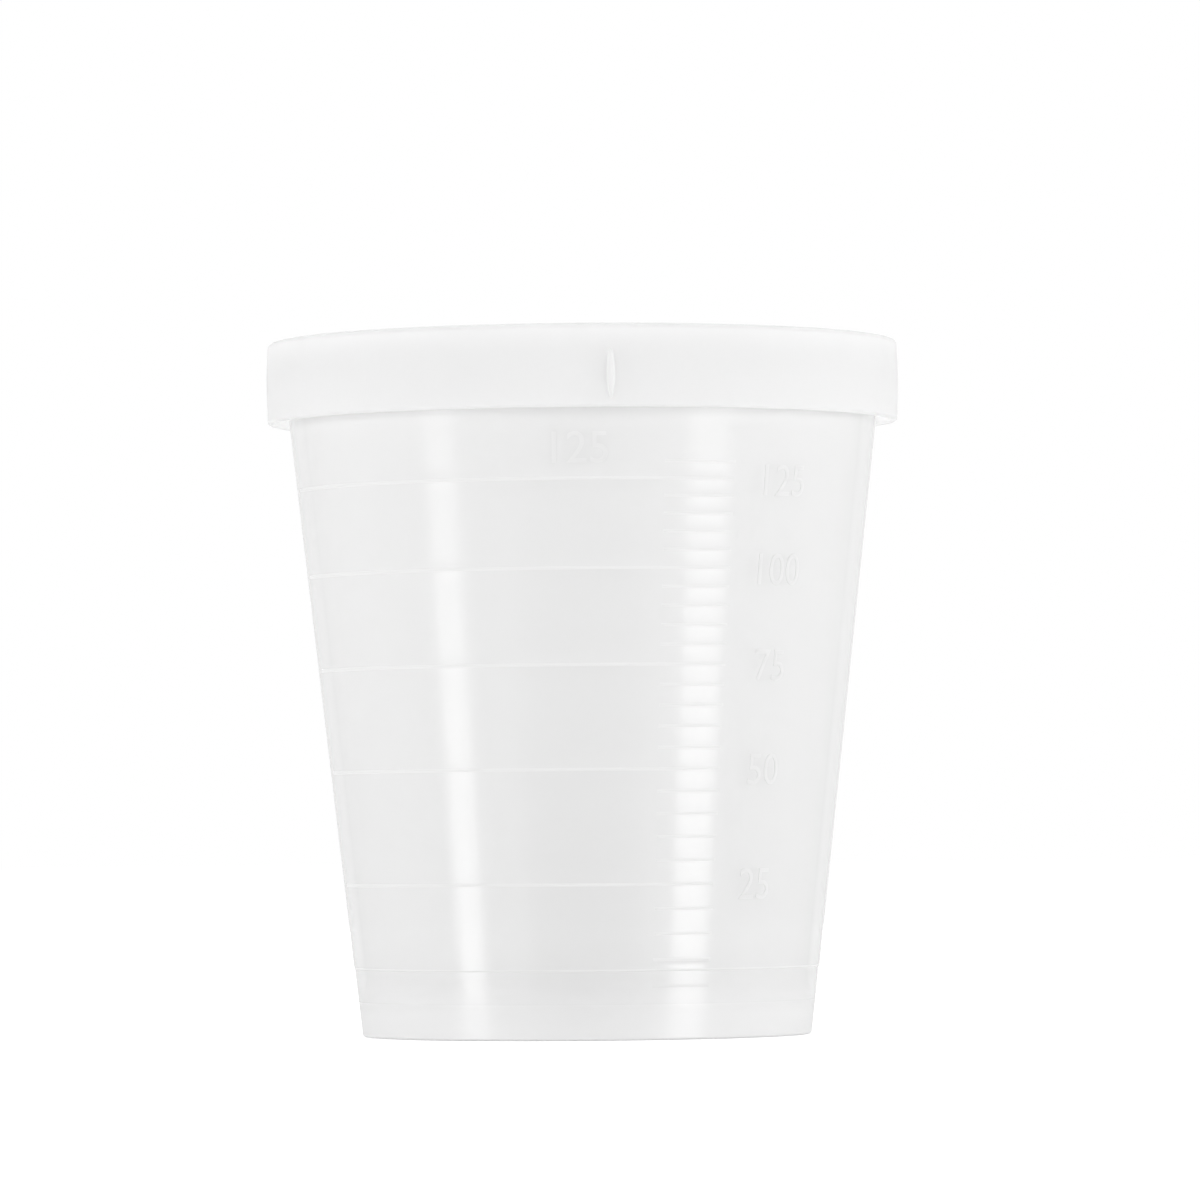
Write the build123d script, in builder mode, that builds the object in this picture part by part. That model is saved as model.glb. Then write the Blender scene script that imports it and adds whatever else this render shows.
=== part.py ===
"""Specimen container: a graduated, tapered cup and its push-on lid.

Each is one moulding of natural polypropylene. Millimetres, degrees and millilitres. The origin is the
centre of the standing ring, +Z points up through the mouth, and the front is -Y. Angles round the wall
run from the front towards +X.
"""

import os
from math import cos, pi, radians, sin, tan

from build123d import *

# Cup: the wall
foot_radius = 24.15  # outer radius of the wall, carried down to the standing plane
wall_draft = 6.4  # taper that lets the cup leave its mould and nest in the next one
cup_height = 73.4  # standing plane to the top of the rim
wall = 0.9

# Cup: the rim that the lid snaps over
rim_overhang = 0.22  # how far its side stands outside the line of the wall at the top
rim_depth = 2.2
rim_bevel = 0.3
mouth_lead = 0.3  # lead-in on the mouth's inner edge

# Cup: the base
floor_level = 2.75  # top of the floor
floor_thickness = 1.0
floor_bevel = 1.2  # inside corner between floor and wall
gate_radius = 2.8  # domed well that keeps the gate's stub off the bench
gate_rise = 2.2
foot_width = 1.3  # standing ring, measured across
foot_band = 7.2  # height of the band formed by the mould's base insert
foot_inset = 0.08  # step between that band and the wall above
foot_bevel = 0.3

# Cup: the graduations
millilitres_per_tick = 5
ticks_per_line = 5
tick_count = 26
mark_height = 0.36
mark_proud = 0.15
mark_root = 0.3  # how far a mark's section reaches into the wall
line_start = -80.0
line_end = 16.0
tick_end = 31.0

# Lid
lid_height = 8.7
lid_plate = 1.0
skirt_gap = 0.45  # between the rim's side and the inside of the skirt
skirt_wall = 0.95  # at the skirt's parting line
skirt_draft = 2.0  # the skirt tapers both ways from its parting line
parting_height = 4.2  # above the skirt's lower edge
lid_top_bevel = 0.5
lid_bottom_bevel = 0.3
lip_depth = 2.6  # sealing lip, below the underside of the plate
lip_wall = 0.8
lip_fit = 0.1  # between the lip and the inside of the mouth
bead_height = 1.4
bead_land = 0.4  # the bead's inner face, between its two flanks
bead_gap = 0.25  # below the rim's underside
lift_clearance = 0.05  # between the bead and the rim as the lid passes over it
gate_dimple_radius = 1.8
gate_dimple_depth = 0.3

# Lid: the upright alignment rib on the skirt
rib_angle = 5.0
rib_length = 5.2
rib_taper = 1.2  # length of each pointed end
rib_width = 0.9
rib_sink = 0.02  # how far its pointed ends lie inside the skirt
rib_centre = 3.5  # above the skirt's lower edge

slope = tan(radians(wall_draft))


def outer_radius(z):
    """Outside of the tapered wall at height z."""
    return foot_radius + z * slope


def inner_radius(z):
    """Inside of the tapered wall at height z, with the wall measured square to its face."""
    return outer_radius(z) - wall / cos(radians(wall_draft))


def frustum_volume(low, high):
    """Volume inside the straight wall between two heights, in cubic millimetres."""
    return pi / (3 * slope) * (inner_radius(high) ** 3 - inner_radius(low) ** 3)


# The space inside the cup, up to the brim. Its volume calibrates the graduations.
gate_top = floor_level + gate_rise
with BuildPart() as cavity:
    with BuildSketch(Plane.XZ) as cavity_section:
        with BuildLine():
            Line((0, cup_height), (0, gate_top))
            TangentArc((0, gate_top), (gate_radius, floor_level), tangent=(1, 0))
            Line((gate_radius, floor_level), (inner_radius(floor_level), floor_level))
            Line((inner_radius(floor_level), floor_level), (inner_radius(cup_height), cup_height))
            Line((inner_radius(cup_height), cup_height), (0, cup_height))
        make_face()
        corner = cavity_section.vertices().sort_by_distance((inner_radius(floor_level), floor_level))[0]
        chamfer(corner, length=floor_bevel)
    revolve(axis=Axis.Z)

# What the bevelled corner and the gate's dome take from a plain tapered bore.
displaced = frustum_volume(floor_level, cup_height) - cavity.part.volume


def fill_level(millilitres):
    """Height of the liquid's surface when the cup holds this much."""
    cube = 3 * slope / pi * (1000 * millilitres + displaced) + inner_radius(floor_level) ** 3
    return floor_level + (cube ** (1 / 3) - inner_radius(floor_level)) / slope


def plane_at(angle):
    """Upright plane through the axis at this angle from the front, with its x outwards and its y up."""
    turn = radians(angle - 90)
    return Plane((0, 0, 0), x_dir=(cos(turn), sin(turn), 0), z_dir=(sin(turn), -cos(turn), 0))


def mark_section(level, start):
    """Section of a graduation, a low ridge centred on its level, at the angle where it starts."""
    low = level - mark_height / 2
    high = level + mark_height / 2
    with BuildSketch(plane_at(start)) as ridge:
        with BuildLine():
            Polyline(
                (outer_radius(low) - mark_root, low),
                (outer_radius(low) + mark_proud, low),
                (outer_radius(high) + mark_proud, high),
                (outer_radius(high) - mark_root, high),
                close=True,
            )
        make_face()
    return ridge.sketch


# The cup. One revolved section gives the wall, rim, foot and recessed underside. The cavity is taken
# from it, and the graduations are added to it.
rim_underside = cup_height - rim_depth
rim_radius = outer_radius(cup_height) + rim_overhang
rim_flank = rim_radius - outer_radius(rim_underside)
foot_inner = foot_radius - foot_width
underside = floor_level - floor_thickness
with BuildPart() as cup:
    with BuildSketch(Plane.XZ) as cup_section:
        with BuildLine():
            Polyline(
                (gate_radius - floor_thickness / 2, underside),
                (foot_inner, underside),
                (foot_inner, 0),
                (outer_radius(0) - foot_inset, 0),
                (outer_radius(foot_band) - foot_inset, foot_band),
                (outer_radius(foot_band), foot_band + foot_inset),
                (outer_radius(rim_underside), rim_underside),
                (rim_radius, rim_underside + rim_flank),
                (rim_radius, cup_height),
                (0, cup_height),
                (0, gate_top - floor_thickness),
            )
            TangentArc(
                (0, gate_top - floor_thickness),
                (gate_radius - floor_thickness / 2, underside),
                tangent=(1, 0),
            )
        make_face()
        rim_corner = cup_section.vertices().sort_by_distance((rim_radius, cup_height))[0]
        chamfer(rim_corner, length=rim_bevel)
        foot_corner = cup_section.vertices().sort_by_distance((outer_radius(0) - foot_inset, 0))[0]
        chamfer(foot_corner, length=foot_bevel)
    revolve(axis=Axis.Z)
    add(cavity.part, mode=Mode.SUBTRACT)
    mouth = cup.edges().filter_by(GeomType.CIRCLE).group_by(Axis.Z)[-1].sort_by(SortBy.RADIUS)[0]
    chamfer(mouth, length=mouth_lead)
    for tick in range(1, tick_count + 1):
        level = fill_level(tick * millilitres_per_tick)
        start = line_start if tick % ticks_per_line == 0 else line_end
        revolve(mark_section(level, start), axis=Axis.Z, revolution_arc=tick_end - start)

# The lid. Its plate rests on the rim, its skirt hangs outside and its sealing lip inside.
lid_top = cup_height + lid_plate
skirt_bottom = lid_top - lid_height
skirt_inner = rim_radius + skirt_gap
lid_radius = skirt_inner + skirt_wall
parting_line = skirt_bottom + parting_height


def skirt_radius(z):
    """Outside of the skirt at height z. It narrows both ways from the parting line."""
    return lid_radius - abs(z - parting_line) * tan(radians(skirt_draft))


lip_outer_top = inner_radius(cup_height) - lip_fit
lip_bottom = cup_height - lip_depth
lip_lead = lip_bottom + lip_wall
lip_outer_bottom = inner_radius(lip_bottom) - lip_fit
bead_high = rim_underside - bead_gap
bead_low = bead_high - bead_height
bead_flank = (bead_height - bead_land) / 2
bead_radius = rim_radius + lift_clearance
with BuildPart() as lid:
    with BuildSketch(Plane.XZ) as lid_section:
        with BuildLine():
            Polyline(
                (skirt_radius(lid_top), lid_top),
                (gate_dimple_radius + gate_dimple_depth, lid_top),
                (gate_dimple_radius, lid_top - gate_dimple_depth),
                (0, lid_top - gate_dimple_depth),
                (0, cup_height),
                (lip_outer_top - lip_wall, cup_height),
                (lip_outer_bottom - lip_wall, lip_bottom),
                (lip_outer_bottom - lip_wall / 2, lip_bottom),
                (inner_radius(lip_lead) - lip_fit, lip_lead),
                (lip_outer_top, cup_height),
                (skirt_inner, cup_height),
                (skirt_inner, bead_high),
                (bead_radius, bead_high - bead_flank),
                (bead_radius, bead_low + bead_flank),
                (skirt_inner, bead_low),
                (skirt_inner, skirt_bottom),
                (skirt_radius(skirt_bottom), skirt_bottom),
                (lid_radius, parting_line),
                close=True,
            )
        make_face()
        top_corner = lid_section.vertices().sort_by_distance((skirt_radius(lid_top), lid_top))[0]
        chamfer(top_corner, length=lid_top_bevel)
        bottom_corner = lid_section.vertices().sort_by_distance((skirt_radius(skirt_bottom), skirt_bottom))[0]
        chamfer(bottom_corner, length=lid_bottom_bevel)
    revolve(axis=Axis.Z)
    # The rib is a spindle, sunk in the skirt so that its pointed ends run out to nothing.
    rib_plane = plane_at(rib_angle)
    rib_low = skirt_bottom + rib_centre - rib_length / 2
    rib_high = rib_low + rib_length
    rib_axis = min(skirt_radius(rib_low), skirt_radius(rib_high)) - rib_sink
    with BuildSketch(rib_plane):
        with BuildLine():
            Polyline(
                (rib_axis, rib_low),
                (rib_axis + rib_width / 2, rib_low + rib_taper),
                (rib_axis + rib_width / 2, rib_high - rib_taper),
                (rib_axis, rib_high),
                close=True,
            )
        make_face()
    revolve(axis=Axis(rib_plane.from_local_coords((rib_axis, 0, 0)), (0, 0, 1)))

os.makedirs("parts", exist_ok=True)
cup.part.label = "cup"
export_step(cup.part, "parts/cup.step")
lid.part.label = "lid"
export_step(lid.part, "parts/lid.step")
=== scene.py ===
from math import atan2, cos, degrees, pi, radians, sin, tan

import bmesh
import bpy
from mathutils import Matrix, Vector


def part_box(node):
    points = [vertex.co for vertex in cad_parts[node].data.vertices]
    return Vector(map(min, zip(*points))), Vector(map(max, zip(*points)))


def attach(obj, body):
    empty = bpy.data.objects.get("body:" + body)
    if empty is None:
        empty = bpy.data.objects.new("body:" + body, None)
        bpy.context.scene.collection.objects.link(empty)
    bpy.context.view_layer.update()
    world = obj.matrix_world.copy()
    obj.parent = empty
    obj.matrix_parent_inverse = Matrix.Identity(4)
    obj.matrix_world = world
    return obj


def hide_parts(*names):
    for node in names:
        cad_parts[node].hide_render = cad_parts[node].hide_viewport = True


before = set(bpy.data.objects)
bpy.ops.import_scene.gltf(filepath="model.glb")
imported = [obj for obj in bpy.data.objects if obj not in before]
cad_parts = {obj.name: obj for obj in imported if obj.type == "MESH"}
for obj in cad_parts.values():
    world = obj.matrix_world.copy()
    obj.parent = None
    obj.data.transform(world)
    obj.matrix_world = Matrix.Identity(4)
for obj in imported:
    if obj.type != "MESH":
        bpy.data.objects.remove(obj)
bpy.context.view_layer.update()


# The view. A long lens a little above the bench looks level at the container, so the lid's underside just shows.
view_distance = 0.83
eye = Vector((0.0, -view_distance, 0.0222))
aim = Vector((0.00172, 0.0, 0.0467))
camera_roll = radians(-0.45)
camera = bpy.data.objects.new("camera", bpy.data.cameras.new("camera"))
camera.data.sensor_width = 36.0
camera.data.lens = 231.6
camera.data.clip_start = 0.05
camera.location = eye
towards = (aim - eye).to_track_quat("-Z", "Y").to_matrix().to_4x4()
camera.matrix_world = Matrix.Translation(eye) @ towards @ Matrix.Rotation(camera_roll, 4, "Z")
bpy.context.collection.objects.link(camera)
bpy.context.scene.camera = camera
bpy.context.scene.view_settings.view_transform = "Standard"


# The studio. A white bench runs back to a white sweep; both show as plain white and keep the container's shadow.
# Soft boxes left and right and a dark card behind the camera show only as reflections. Four lamps and the white
# room give the light.


class Wire:
    """One output of a node tree. Arithmetic on wires adds Math nodes, and node() adds any other node."""

    def __init__(self, tree, socket=None):
        self.tree = tree
        self.socket = socket

    def node(self, kind, settings, inputs, output=0):
        """Adds a node: its settings first, then the values or links of its sockets. Returns one of its outputs."""
        made = self.tree.nodes.new(kind)
        for name, setting in settings.items():
            setattr(made, name, setting)
        for name, value in inputs.items():
            if isinstance(value, Wire):
                self.tree.links.new(value.socket, made.inputs[name])
            else:
                made.inputs[name].default_value = value
        return Wire(self.tree, made.outputs[output] if made.outputs else None)

    def math(self, operation, first, second):
        return self.node("ShaderNodeMath", {"operation": operation}, {0: first, 1: second})

    def __add__(self, other):
        return self.math("ADD", self, other)

    __radd__ = __add__

    def __sub__(self, other):
        return self.math("SUBTRACT", self, other)

    def __rsub__(self, other):
        return self.math("SUBTRACT", other, self)

    def __mul__(self, other):
        return self.math("MULTIPLY", self, other)

    __rmul__ = __mul__


def new_material(name):
    """An empty material and a wire to start its nodes from."""
    material = bpy.data.materials.new(name)
    material.use_nodes = True
    material.node_tree.nodes.clear()
    return material, Wire(material.node_tree)


def grey(level):
    """A colour without hue, from black at 0 to white at 1."""
    return (level, level, level, 1.0)


white = grey(1.0)
world = bpy.data.worlds.new("studio")
bpy.context.scene.world = world
world.use_nodes = True
world.node_tree.nodes.clear()
sky = Wire(world.node_tree)
ray = sky.node("ShaderNodeLightPath", {}, {}, "Is Camera Ray")
glossy = Wire(world.node_tree, ray.socket.node.outputs["Is Glossy Ray"])
through = Wire(world.node_tree, ray.socket.node.outputs["Is Transmission Ray"])
room_light = 0.575
mirrored_room = 0.82
seen = sky.math("MAXIMUM", ray, through)
sky_level = sky.math("MAXIMUM", seen, glossy * (mirrored_room - room_light) + room_light)
background = sky.node("ShaderNodeBackground", {}, {"Color": white, "Strength": sky_level})
background.node("ShaderNodeOutputWorld", {}, {"Surface": background})

bench_material, start = new_material("bench_white")
ray = start.node("ShaderNodeLightPath", {}, {}, "Is Camera Ray")
through = Wire(bench_material.node_tree, ray.socket.node.outputs["Is Transmission Ray"])
paper = start.node("ShaderNodeBsdfDiffuse", {}, {"Color": grey(0.9)})
bench_glow = 0.49
glow_level = start.math("MAXIMUM", ray, through) * bench_glow
glow = start.node("ShaderNodeEmission", {}, {"Color": white, "Strength": glow_level})
lit_paper = start.node("ShaderNodeAddShader", {}, {0: paper, 1: glow})
lit_paper.node("ShaderNodeOutputMaterial", {}, {"Surface": lit_paper})
bench_size = 8.0
bench_gap = 0.00002
bench_mesh = bmesh.new()
bmesh.ops.create_grid(bench_mesh, x_segments=1, y_segments=1, size=bench_size / 2)
bmesh.ops.translate(bench_mesh, vec=(0.0, 0.0, -bench_gap), verts=bench_mesh.verts)
bench = bpy.data.objects.new("bench", bpy.data.meshes.new("bench"))
bench_mesh.to_mesh(bench.data)
bench_mesh.free()
bench.data.materials.append(bench_material)
bpy.context.collection.objects.link(bench)
bench.visible_glossy = False


def direction(azimuth, elevation):
    """The way out from the container, in degrees: azimuth 0 is towards the camera and 90 is to its right."""
    turn = radians(azimuth)
    rise = radians(elevation)
    return Vector((sin(turn) * cos(rise), -cos(turn) * cos(rise), sin(rise)))


def panel(name, azimuth, elevation, distance, width, height):
    """A flat rectangle that faces the container and shows only as a reflection."""
    place = direction(azimuth, elevation) * distance
    facing = place.to_track_quat("Z", "Y").to_matrix().to_4x4()
    sheet = bmesh.new()
    bmesh.ops.create_grid(sheet, x_segments=1, y_segments=1, size=0.5)
    bmesh.ops.transform(sheet, matrix=Matrix.Diagonal((width, height, 1.0, 1.0)), verts=sheet.verts)
    bmesh.ops.transform(sheet, matrix=Matrix.Translation(place) @ facing, verts=sheet.verts)
    made = bpy.data.objects.new(name, bpy.data.meshes.new(name))
    sheet.to_mesh(made.data)
    sheet.free()
    bpy.context.collection.objects.link(made)
    made.visible_camera = False
    made.visible_diffuse = False
    made.visible_transmission = False
    made.visible_shadow = False
    return made


soft_box_high, soft_box_low = 2.4, 3.8
fade_top, fade_bottom = -0.04, -0.18
soft_box, start = new_material("soft_box")
place = start.node("ShaderNodeTexCoord", {}, {}, "Object")
brighter_below = start.node(
    "ShaderNodeMapRange", {},
    {
        "Value": start.node("ShaderNodeSeparateXYZ", {}, {"Vector": place}, "Z"),
        "From Min": fade_top, "From Max": fade_bottom, "To Min": soft_box_high, "To Max": soft_box_low,
    },
)
light = start.node("ShaderNodeEmission", {}, {"Color": white, "Strength": brighter_below})
light.node("ShaderNodeOutputMaterial", {}, {"Surface": light})
for name, azimuth, width in (("soft_box_left", -58.0, 0.16), ("soft_box_right", 51.0, 0.22)):
    box = panel(name, azimuth, elevation=-16.0, distance=0.7, width=width, height=0.34)
    box.data.materials.append(soft_box)

card_width = 1.35
card = panel("dark_card", azimuth=0.0, elevation=-14.0, distance=1.3, width=card_width, height=0.5)
card_material, start = new_material("dark_card")
place = start.node("ShaderNodeTexCoord", {}, {}, "Object")
sideways = start.node("ShaderNodeSeparateXYZ", {}, {"Vector": place}, "X")
upright = Wire(card_material.node_tree, sideways.socket.node.outputs["Z"])
across = sideways * (2 / card_width)
grey_beside = 0.45
lighter_above = start.node(
    "ShaderNodeMapRange", {"interpolation_type": "SMOOTHSTEP"},
    {"Value": upright, "From Min": -0.26, "From Max": -0.15, "To Min": 0.0, "To Max": 0.6},
)
lightness = lighter_above + across * across * grey_beside
card_grey = start.node("ShaderNodeMix", {"data_type": "RGBA"}, {0: lightness, 6: grey(0.0), 7: white}, 2)
light = start.node("ShaderNodeEmission", {}, {"Color": card_grey, "Strength": 1.0})
light.node("ShaderNodeOutputMaterial", {}, {"Surface": light})
card.data.materials.append(card_material)

key_lamps = (
    ("key_left", -60.0, 5.0, 4.1), ("key_right", 62.0, 5.0, 4.4), ("key_top", 0.0, 90.0, 0.7),
    ("key_back", 180.0, 12.0, 1.2),
)
lamp_distance = 0.9
lamp_aim = Vector((0.0, 0.0, 0.04))
for name, azimuth, elevation, power in key_lamps:
    lamp = bpy.data.lights.new(name, "AREA")
    lamp.shape = "RECTANGLE"
    lamp.size = 0.5
    lamp.size_y = 0.4
    lamp.energy = power
    lamp_object = bpy.data.objects.new(name, lamp)
    away = direction(azimuth, elevation)
    lamp_object.location = away * lamp_distance + lamp_aim
    lamp_object.rotation_mode = "QUATERNION"
    lamp_object.rotation_quaternion = away.to_track_quat("Z", "Y")
    lamp_object.visible_glossy = False
    lamp_object.visible_transmission = False
    bpy.context.collection.objects.link(lamp_object)


# The cup. One moulding of natural polypropylene: a tapered wall with a beaded rim, a flat floor raised on a
# standing ring, and a domed well over the gate. The graduations stand proud of the outside of the wall.
mm = 0.001
millilitre = 1e-6
cup_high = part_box("cup")[1]
cup_height = cup_high.z
rim_radius = cup_high.x
wall_draft = radians(6.4)
wall_slope = tan(wall_draft)
foot_radius = 24.15 * mm
wall = 0.9 * mm / cos(wall_draft)
rim_depth = 2.2 * mm
floor_level = 2.75 * mm
floor_thickness = 1.0 * mm
gate_radius = 2.8 * mm
gate_rise = 2.2 * mm
foot_width = 1.3 * mm
foot_band = 7.2 * mm
foot_inset = 0.08 * mm
steps_round = 360
weld = 0.001 * mm

# The floor's corner and the dome over the gate take this many millilitres from the plain cone.
corner_and_dome = 0.137


def outer_radius(z):
    """Outside of the cup's wall at height z."""
    return foot_radius + z * wall_slope


def inner_radius(z):
    """Inside of the cup's wall at height z."""
    return outer_radius(z) - wall


def dome(radius, base, rise, points=6):
    """Half section of a shallow dome, from its foot up to the axis."""
    ball = (radius * radius + rise * rise) / (2 * rise)
    spread = atan2(radius, ball - rise)
    turns = [spread * (1 - n / points) for n in range(points + 1)]
    return [(ball * sin(turn), base + rise - ball * (1 - cos(turn))) for turn in turns]


def fill_level(millilitres):
    """Height of the liquid when the cup holds this much: the wall is a cone, so the lines close up as it widens."""
    volume = (millilitres + corner_and_dome) * millilitre
    cube = 3 * wall_slope / pi * volume + inner_radius(floor_level) ** 3
    return floor_level + (cube ** (1 / 3) - inner_radius(floor_level)) / wall_slope


def held(z):
    """Millilitres in the cup when it is filled to height z."""
    volume = pi / (3 * wall_slope) * (inner_radius(z) ** 3 - inner_radius(floor_level) ** 3)
    return volume / millilitre - corner_and_dome


def turned(section, rounds):
    """A round body from its half section. Rounds gives the radius at a corner, by its place in the section."""
    form = bmesh.new()
    corners = [form.verts.new((r, 0.0, z)) for r, z in section]
    for first, second in zip(corners, corners[1:]):
        form.edges.new((first, second))
    for index, radius in rounds.items():
        bmesh.ops.bevel(
            form, geom=[corners[index]], offset=radius, offset_type="OFFSET",
            affect="VERTICES", segments=4, profile=0.5, material=-1,
        )
    bmesh.ops.spin(
        form, geom=form.verts[:] + form.edges[:], cent=(0, 0, 0), axis=(0, 0, 1), dvec=(0, 0, 0),
        angle=2 * pi, steps=steps_round, use_merge=True, use_duplicate=False,
    )
    bmesh.ops.remove_doubles(form, verts=form.verts, dist=weld)
    bmesh.ops.recalc_face_normals(form, faces=form.faces)
    return form


def finished(form, name, materials, node, body):
    """Makes a smooth-shaded piece of a mesh that moves with a body, in place of a CAD node if one is named."""
    sharp_edge = radians(32)
    for face in form.faces:
        face.smooth = True
    for edge in form.edges:
        edge.smooth = edge.calc_face_angle(0.0) < sharp_edge
    piece = bpy.data.objects.new(name, bpy.data.meshes.new(name))
    form.to_mesh(piece.data)
    form.free()
    for material in materials:
        piece.data.materials.append(material)
    bpy.context.collection.objects.link(piece)
    flats = piece.modifiers.new("flats_keep_their_shading", "WEIGHTED_NORMAL")
    flats.keep_sharp = True
    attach(piece, body)
    if node:
        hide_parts(node)
    return piece


tick_volume = 5
ticks_per_line = 5
tick_count = 26
mark_height = 0.36 * mm

# The ends of the marks, in degrees round the cup from the middle of its front towards the right.
line_start = -80
line_end = 16
tick_end = 31

mark_draft = 0.1 * mm
mark_soft = 0.06 * mm
levels = [fill_level(tick_volume * tick) for tick in range(1, tick_count + 1)]
mark_edges = [(outer_radius(z), z) for level in levels for z in (level - mark_height / 2, level + mark_height / 2)]
step_height = 0.24 * mm
step_top = foot_band + step_height
band_edges = [
    (outer_radius(foot_band) - foot_inset, foot_band), (outer_radius(foot_band), foot_band + foot_inset),
    (outer_radius(step_top), step_top),
]
flank = sorted(band_edges + mark_edges, key=lambda corner: corner[1])
flank = [(r - (foot_inset if z < foot_band else 0), z) for r, z in flank]
rim_underside = cup_height - rim_depth
rim_flank = rim_radius - outer_radius(rim_underside)
foot_inner = foot_radius - foot_width
underside = floor_level - floor_thickness
well = dome(gate_radius - floor_thickness / 2, underside, gate_rise)
gate_dome = dome(gate_radius, floor_level, gate_rise)
section = well[::-1] + [(foot_inner, underside), (foot_inner, 0.0), (outer_radius(0.0) - foot_inset, 0.0)]
foot_corner = len(section) - 1
section += flank + [(outer_radius(rim_underside), rim_underside), (rim_radius, rim_underside + rim_flank)]
rim_corner = len(section)
section += [(rim_radius, cup_height), (inner_radius(cup_height), cup_height)]
section += [(inner_radius(floor_level), floor_level)] + gate_dome
rounds = {
    foot_corner - 1: 0.2 * mm,
    foot_corner: 0.3 * mm,
    rim_corner - 2: 0.3 * mm,
    rim_corner - 1: 0.2 * mm,
    rim_corner: 0.3 * mm,
    rim_corner + 1: 0.25 * mm,
    rim_corner + 2: 1.6 * mm,
}
cup_form = turned(section, rounds)


def is_marked(face):
    """True on the strips of the wall that stand up as graduations."""
    centre = face.calc_center_median()
    tick = round(held(centre.z) / tick_volume)
    if not 1 <= tick <= tick_count or abs(centre.z - levels[tick - 1]) > mark_height / 4:
        return False
    angle = degrees(pi / 2 + atan2(centre.y, centre.x))
    start = line_start if tick % ticks_per_line == 0 else line_end
    return start < angle < tick_end and centre.xy.length > outer_radius(centre.z) - wall / 2


marked = [face for face in cup_form.faces if is_marked(face)]
sides = bmesh.ops.inset_region(
    cup_form, faces=marked, use_boundary=True, use_even_offset=True, thickness=mark_draft, depth=mark_soft,
)
centres = {face: face.calc_center_median() for face in cup_form.faces}
step = [
    face for face, centre in centres.items()
    if foot_band < centre.z < step_top and centre.xy.length > inner_radius(foot_band) + wall / 2
]

# The graduations and the step over the foot band take the second, matte finish.
for face in marked + sides["faces"] + step:
    face.material_index = 1


def mottled(start, place, scale, detail, roughness, darker, lighter):
    """The colour of the plastic: faint clouds between two pale greys."""
    haze = start.node(
        "ShaderNodeTexNoise", {}, {"Vector": place, "Scale": scale, "Detail": detail, "Roughness": roughness},
    )
    return start.node("ShaderNodeMix", {"data_type": "RGBA"}, {0: haze, 6: grey(darker), 7: grey(lighter)}, 2)


def matte_plastic(name, haze_share):
    """The plastic without its polish, as raised details have it. The more haze, the less shows through it."""
    material, start = new_material(name)
    place = start.node("ShaderNodeTexCoord", {}, {}, "Object")
    tint = mottled(start, place, scale=90.0, detail=2.0, roughness=0.5, darker=0.945, lighter=0.97)
    plastic = start.node(
        "ShaderNodeBsdfPrincipled", {}, {"Base Color": tint, "Roughness": 0.38, "IOR": 1.49, "Alpha": haze_share},
    )
    plastic.node("ShaderNodeOutputMaterial", {}, {"Surface": plastic})
    return material


cup_plastic, start = new_material("natural_polypropylene_cup")
place = start.node("ShaderNodeTexCoord", {}, {}, "Object")
tint = mottled(start, place, scale=55.0, detail=3.0, roughness=0.55, darker=0.957, lighter=0.975)
clear_haze = 0.6
base_haze = 0.3
base_top = 2.0 * mm
height = start.node("ShaderNodeSeparateXYZ", {}, {"Vector": place}, "Z")
base = start.node(
    "ShaderNodeMapRange", {"interpolation_type": "SMOOTHSTEP"},
    {"Value": height, "From Min": foot_band, "From Max": base_top, "To Min": 0.0, "To Max": 1.0},
)
facing = start.node("ShaderNodeLayerWeight", {}, {"Blend": 0.5}, "Facing")
edge_haze = start.node(
    "ShaderNodeMapRange", {"interpolation_type": "SMOOTHSTEP"},
    {"Value": facing, "From Min": 0.3, "From Max": 0.9, "To Min": 0.0, "To Max": 0.85},
)
haze_share = start.math("MAXIMUM", base * base_haze + clear_haze, edge_haze)
plastic = start.node(
    "ShaderNodeBsdfPrincipled", {},
    {
        "Base Color": tint, "Roughness": 0.2 + base * 0.1, "IOR": 1.49, "Specular IOR Level": 1.0,
        "Coat Weight": 1.0 - base * 0.8, "Coat Roughness": 0.15, "Alpha": haze_share,
    },
)
through = start.node("ShaderNodeBsdfTranslucent", {}, {"Color": grey(0.967)})
plastic = start.node("ShaderNodeMixShader", {}, {0: 0.1, 1: plastic, 2: through})
plastic.node("ShaderNodeOutputMaterial", {}, {"Surface": plastic})
mark_plastic = matte_plastic("matte_polypropylene_marks", haze_share=0.62)
cup = finished(cup_form, "graduated_cup", [cup_plastic, mark_plastic], "cup", "cup")


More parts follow.
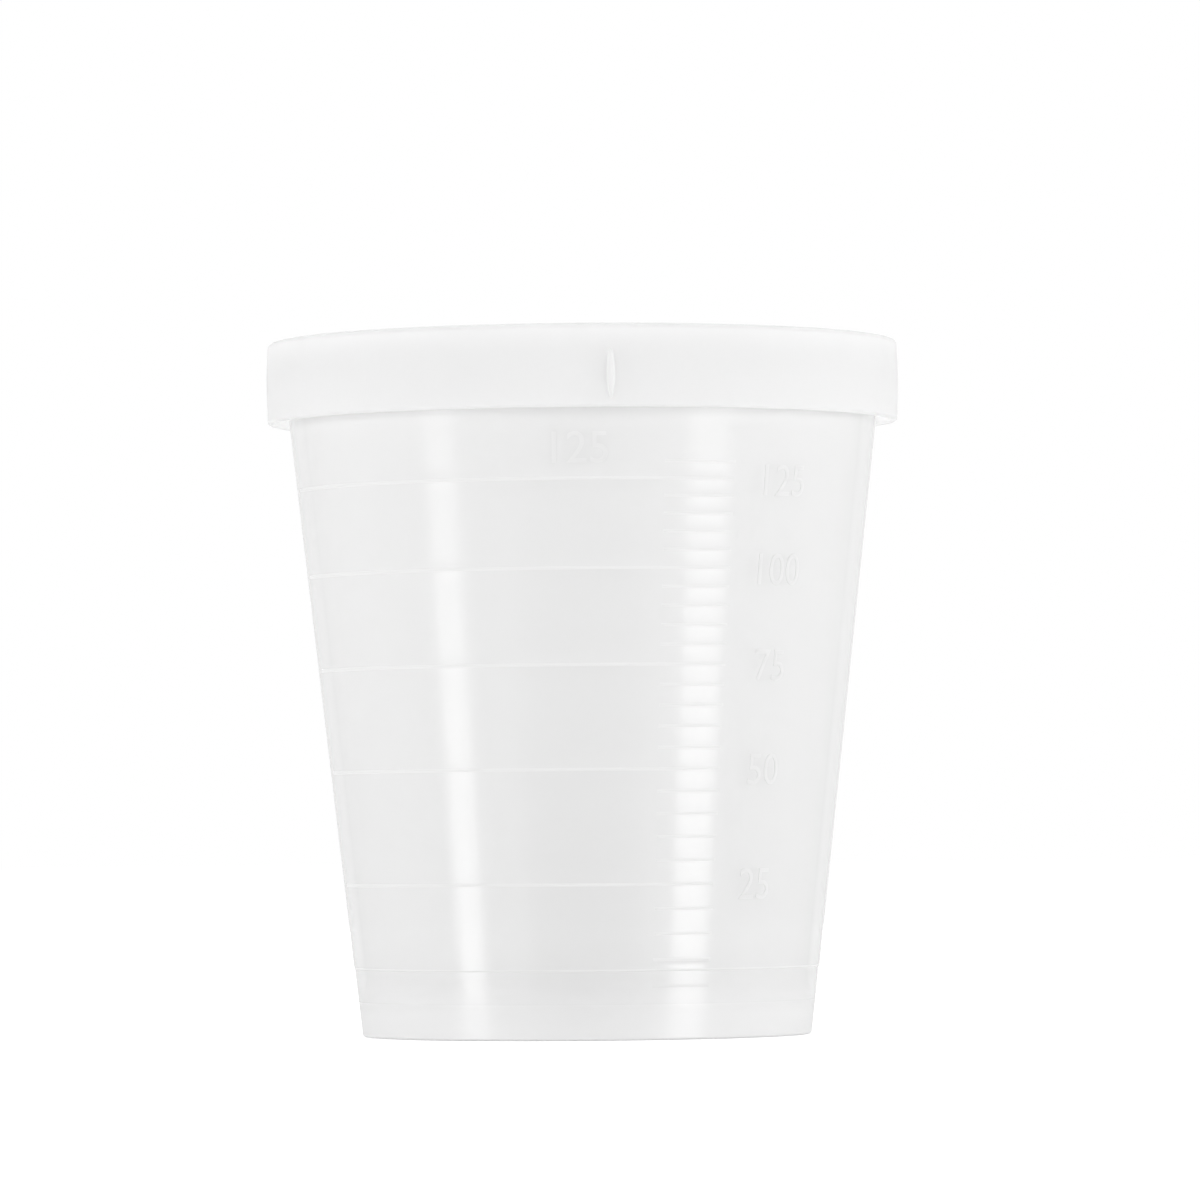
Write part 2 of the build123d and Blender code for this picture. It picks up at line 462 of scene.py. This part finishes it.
# The numbers. Plain figures moulded on the wall right of the tick ladder, level with the long lines, and the
# full volume over the top line. They are cut in the mould with the graduations and stand about half as proud.
figure_height = 3.3 * mm
figure_angle = 43.0
figure_proud = mark_soft * 0.54
figure_share_of_size = 0.7
full_angle = -1.2
full_rise = 1.6 * mm
line_count = tick_count // ticks_per_line
lines = [(tick_volume * ticks_per_line * n, levels[ticks_per_line * n - 1]) for n in range(1, line_count + 1)]
figures = [(str(volume), level - figure_height / 2, figure_angle) for volume, level in lines]
full_volume, full_level = lines[-1]
figures.append((str(full_volume), full_level + full_rise, full_angle))
number_form = bmesh.new()
for text, foot, angle in figures:
    curve = bpy.data.curves.new("figure", "FONT")
    curve.body = text
    curve.size = figure_height / figure_share_of_size
    curve.align_x = "CENTER"
    curve.extrude = figure_proud
    curve.resolution_u = 4
    letters = bpy.data.objects.new("figure", curve)
    bpy.context.collection.objects.link(letters)
    bpy.context.view_layer.update()
    outline = bpy.data.meshes.new_from_object(letters)
    bpy.data.objects.remove(letters)
    bpy.data.curves.remove(curve)
    before = len(number_form.verts)
    number_form.from_mesh(outline)
    bpy.data.meshes.remove(outline)
    number_form.verts.ensure_lookup_table()
    for vertex in number_form.verts[before:]:
        z = foot + vertex.co.y
        radius = outer_radius(z) + vertex.co.z
        turn = radians(angle - 90) + vertex.co.x / outer_radius(z)
        vertex.co = (radius * cos(turn), radius * sin(turn), z)
bmesh.ops.remove_doubles(number_form, verts=number_form.verts, dist=2 * weld)
bmesh.ops.recalc_face_normals(number_form, faces=number_form.faces)
numbers = finished(number_form, "graduation_numbers", [mark_plastic], None, "cup")


# The lid. One moulding of the same plastic, a little thicker: a flat plate with a skirt that snaps over the
# rim, a sealing lip inside the mouth, and a small upright rib on the front of the skirt.
lid_low, lid_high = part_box("lid")
lid_top = lid_high.z
skirt_bottom = lid_low.z
lid_radius = 34.0 * mm
skirt_inner = 33.05 * mm
skirt_draft = tan(radians(2.0))
parting_line = skirt_bottom + 4.2 * mm
skirt_low_radius = lid_radius - (parting_line - skirt_bottom) * skirt_draft
skirt_high_radius = lid_radius - (lid_top - parting_line) * skirt_draft
lip_depth = 2.6 * mm
lip_wall = 0.8 * mm
lip_fit = 0.1 * mm
lip_top = inner_radius(cup_height) - lip_fit
lip_bottom = inner_radius(cup_height - lip_depth) - lip_fit
bead_high = rim_underside - 0.25 * mm
bead_height = 1.4 * mm
bead_radius = rim_radius + 0.05 * mm
dimple_radius = 1.8 * mm
dimple_depth = 0.3 * mm
bead_slope = 0.35 * bead_height
section = [
    (0.0, lid_top - dimple_depth), (dimple_radius, lid_top - dimple_depth),
    (dimple_radius + dimple_depth, lid_top), (skirt_high_radius, lid_top), (lid_radius, parting_line),
    (skirt_low_radius, skirt_bottom), (skirt_inner, skirt_bottom), (skirt_inner, bead_high - bead_height),
    (bead_radius, bead_high - bead_height + bead_slope), (bead_radius, bead_high - bead_slope),
    (skirt_inner, bead_high), (skirt_inner, cup_height), (lip_top, cup_height),
    (lip_bottom, cup_height - lip_depth), (lip_bottom - lip_wall, cup_height - lip_depth),
    (lip_top - lip_wall, cup_height), (0.0, cup_height),
]
rounds = {
    2: 0.15 * mm, 3: 0.6 * mm, 4: 1.6 * mm, 5: 0.35 * mm, 6: 0.2 * mm, 8: 0.2 * mm, 9: 0.2 * mm,
    13: 0.3 * mm, 14: 0.15 * mm,
}
lid_form = turned(section, rounds)

rib_angle = 5.0
rib_length = 5.2 * mm
rib_width = 0.9 * mm
rib_proud = 0.31 * mm
rib_rise = 3.5 * mm
rib_centre = skirt_bottom + rib_rise
rib_turn = radians(rib_angle - 90)
rib_axis = lid_radius + rib_proud - rib_width / 2
made = bmesh.ops.create_icosphere(lid_form, subdivisions=4, radius=rib_width / 2)
shape = Matrix.Translation((rib_axis * cos(rib_turn), rib_axis * sin(rib_turn), rib_centre))
bmesh.ops.transform(
    lid_form, matrix=shape @ Matrix.Diagonal((1.0, 1.0, rib_length / rib_width, 1.0)), verts=made["verts"],
)
for face in {face for vertex in made["verts"] for face in vertex.link_faces}:
    face.material_index = 1

lid_plastic, start = new_material("natural_polypropylene_lid")
place = start.node("ShaderNodeTexCoord", {}, {}, "Object")
tint = mottled(start, place, scale=70.0, detail=3.0, roughness=0.55, darker=0.975, lighter=0.99)
plastic = start.node(
    "ShaderNodeBsdfPrincipled", {},
    {"Base Color": tint, "Roughness": 0.22, "IOR": 1.49, "Specular IOR Level": 0.5, "Alpha": 0.8},
)
through = start.node("ShaderNodeBsdfTranslucent", {}, {"Color": grey(0.965)})
plastic = start.node("ShaderNodeMixShader", {}, {0: 0.55, 1: plastic, 2: through})
plastic.node("ShaderNodeOutputMaterial", {}, {"Surface": plastic})
rib_plastic = matte_plastic("polypropylene_rib", haze_share=0.8)
lid = finished(lid_form, "push_on_lid", [lid_plastic, rib_plastic], "lid", "lid")
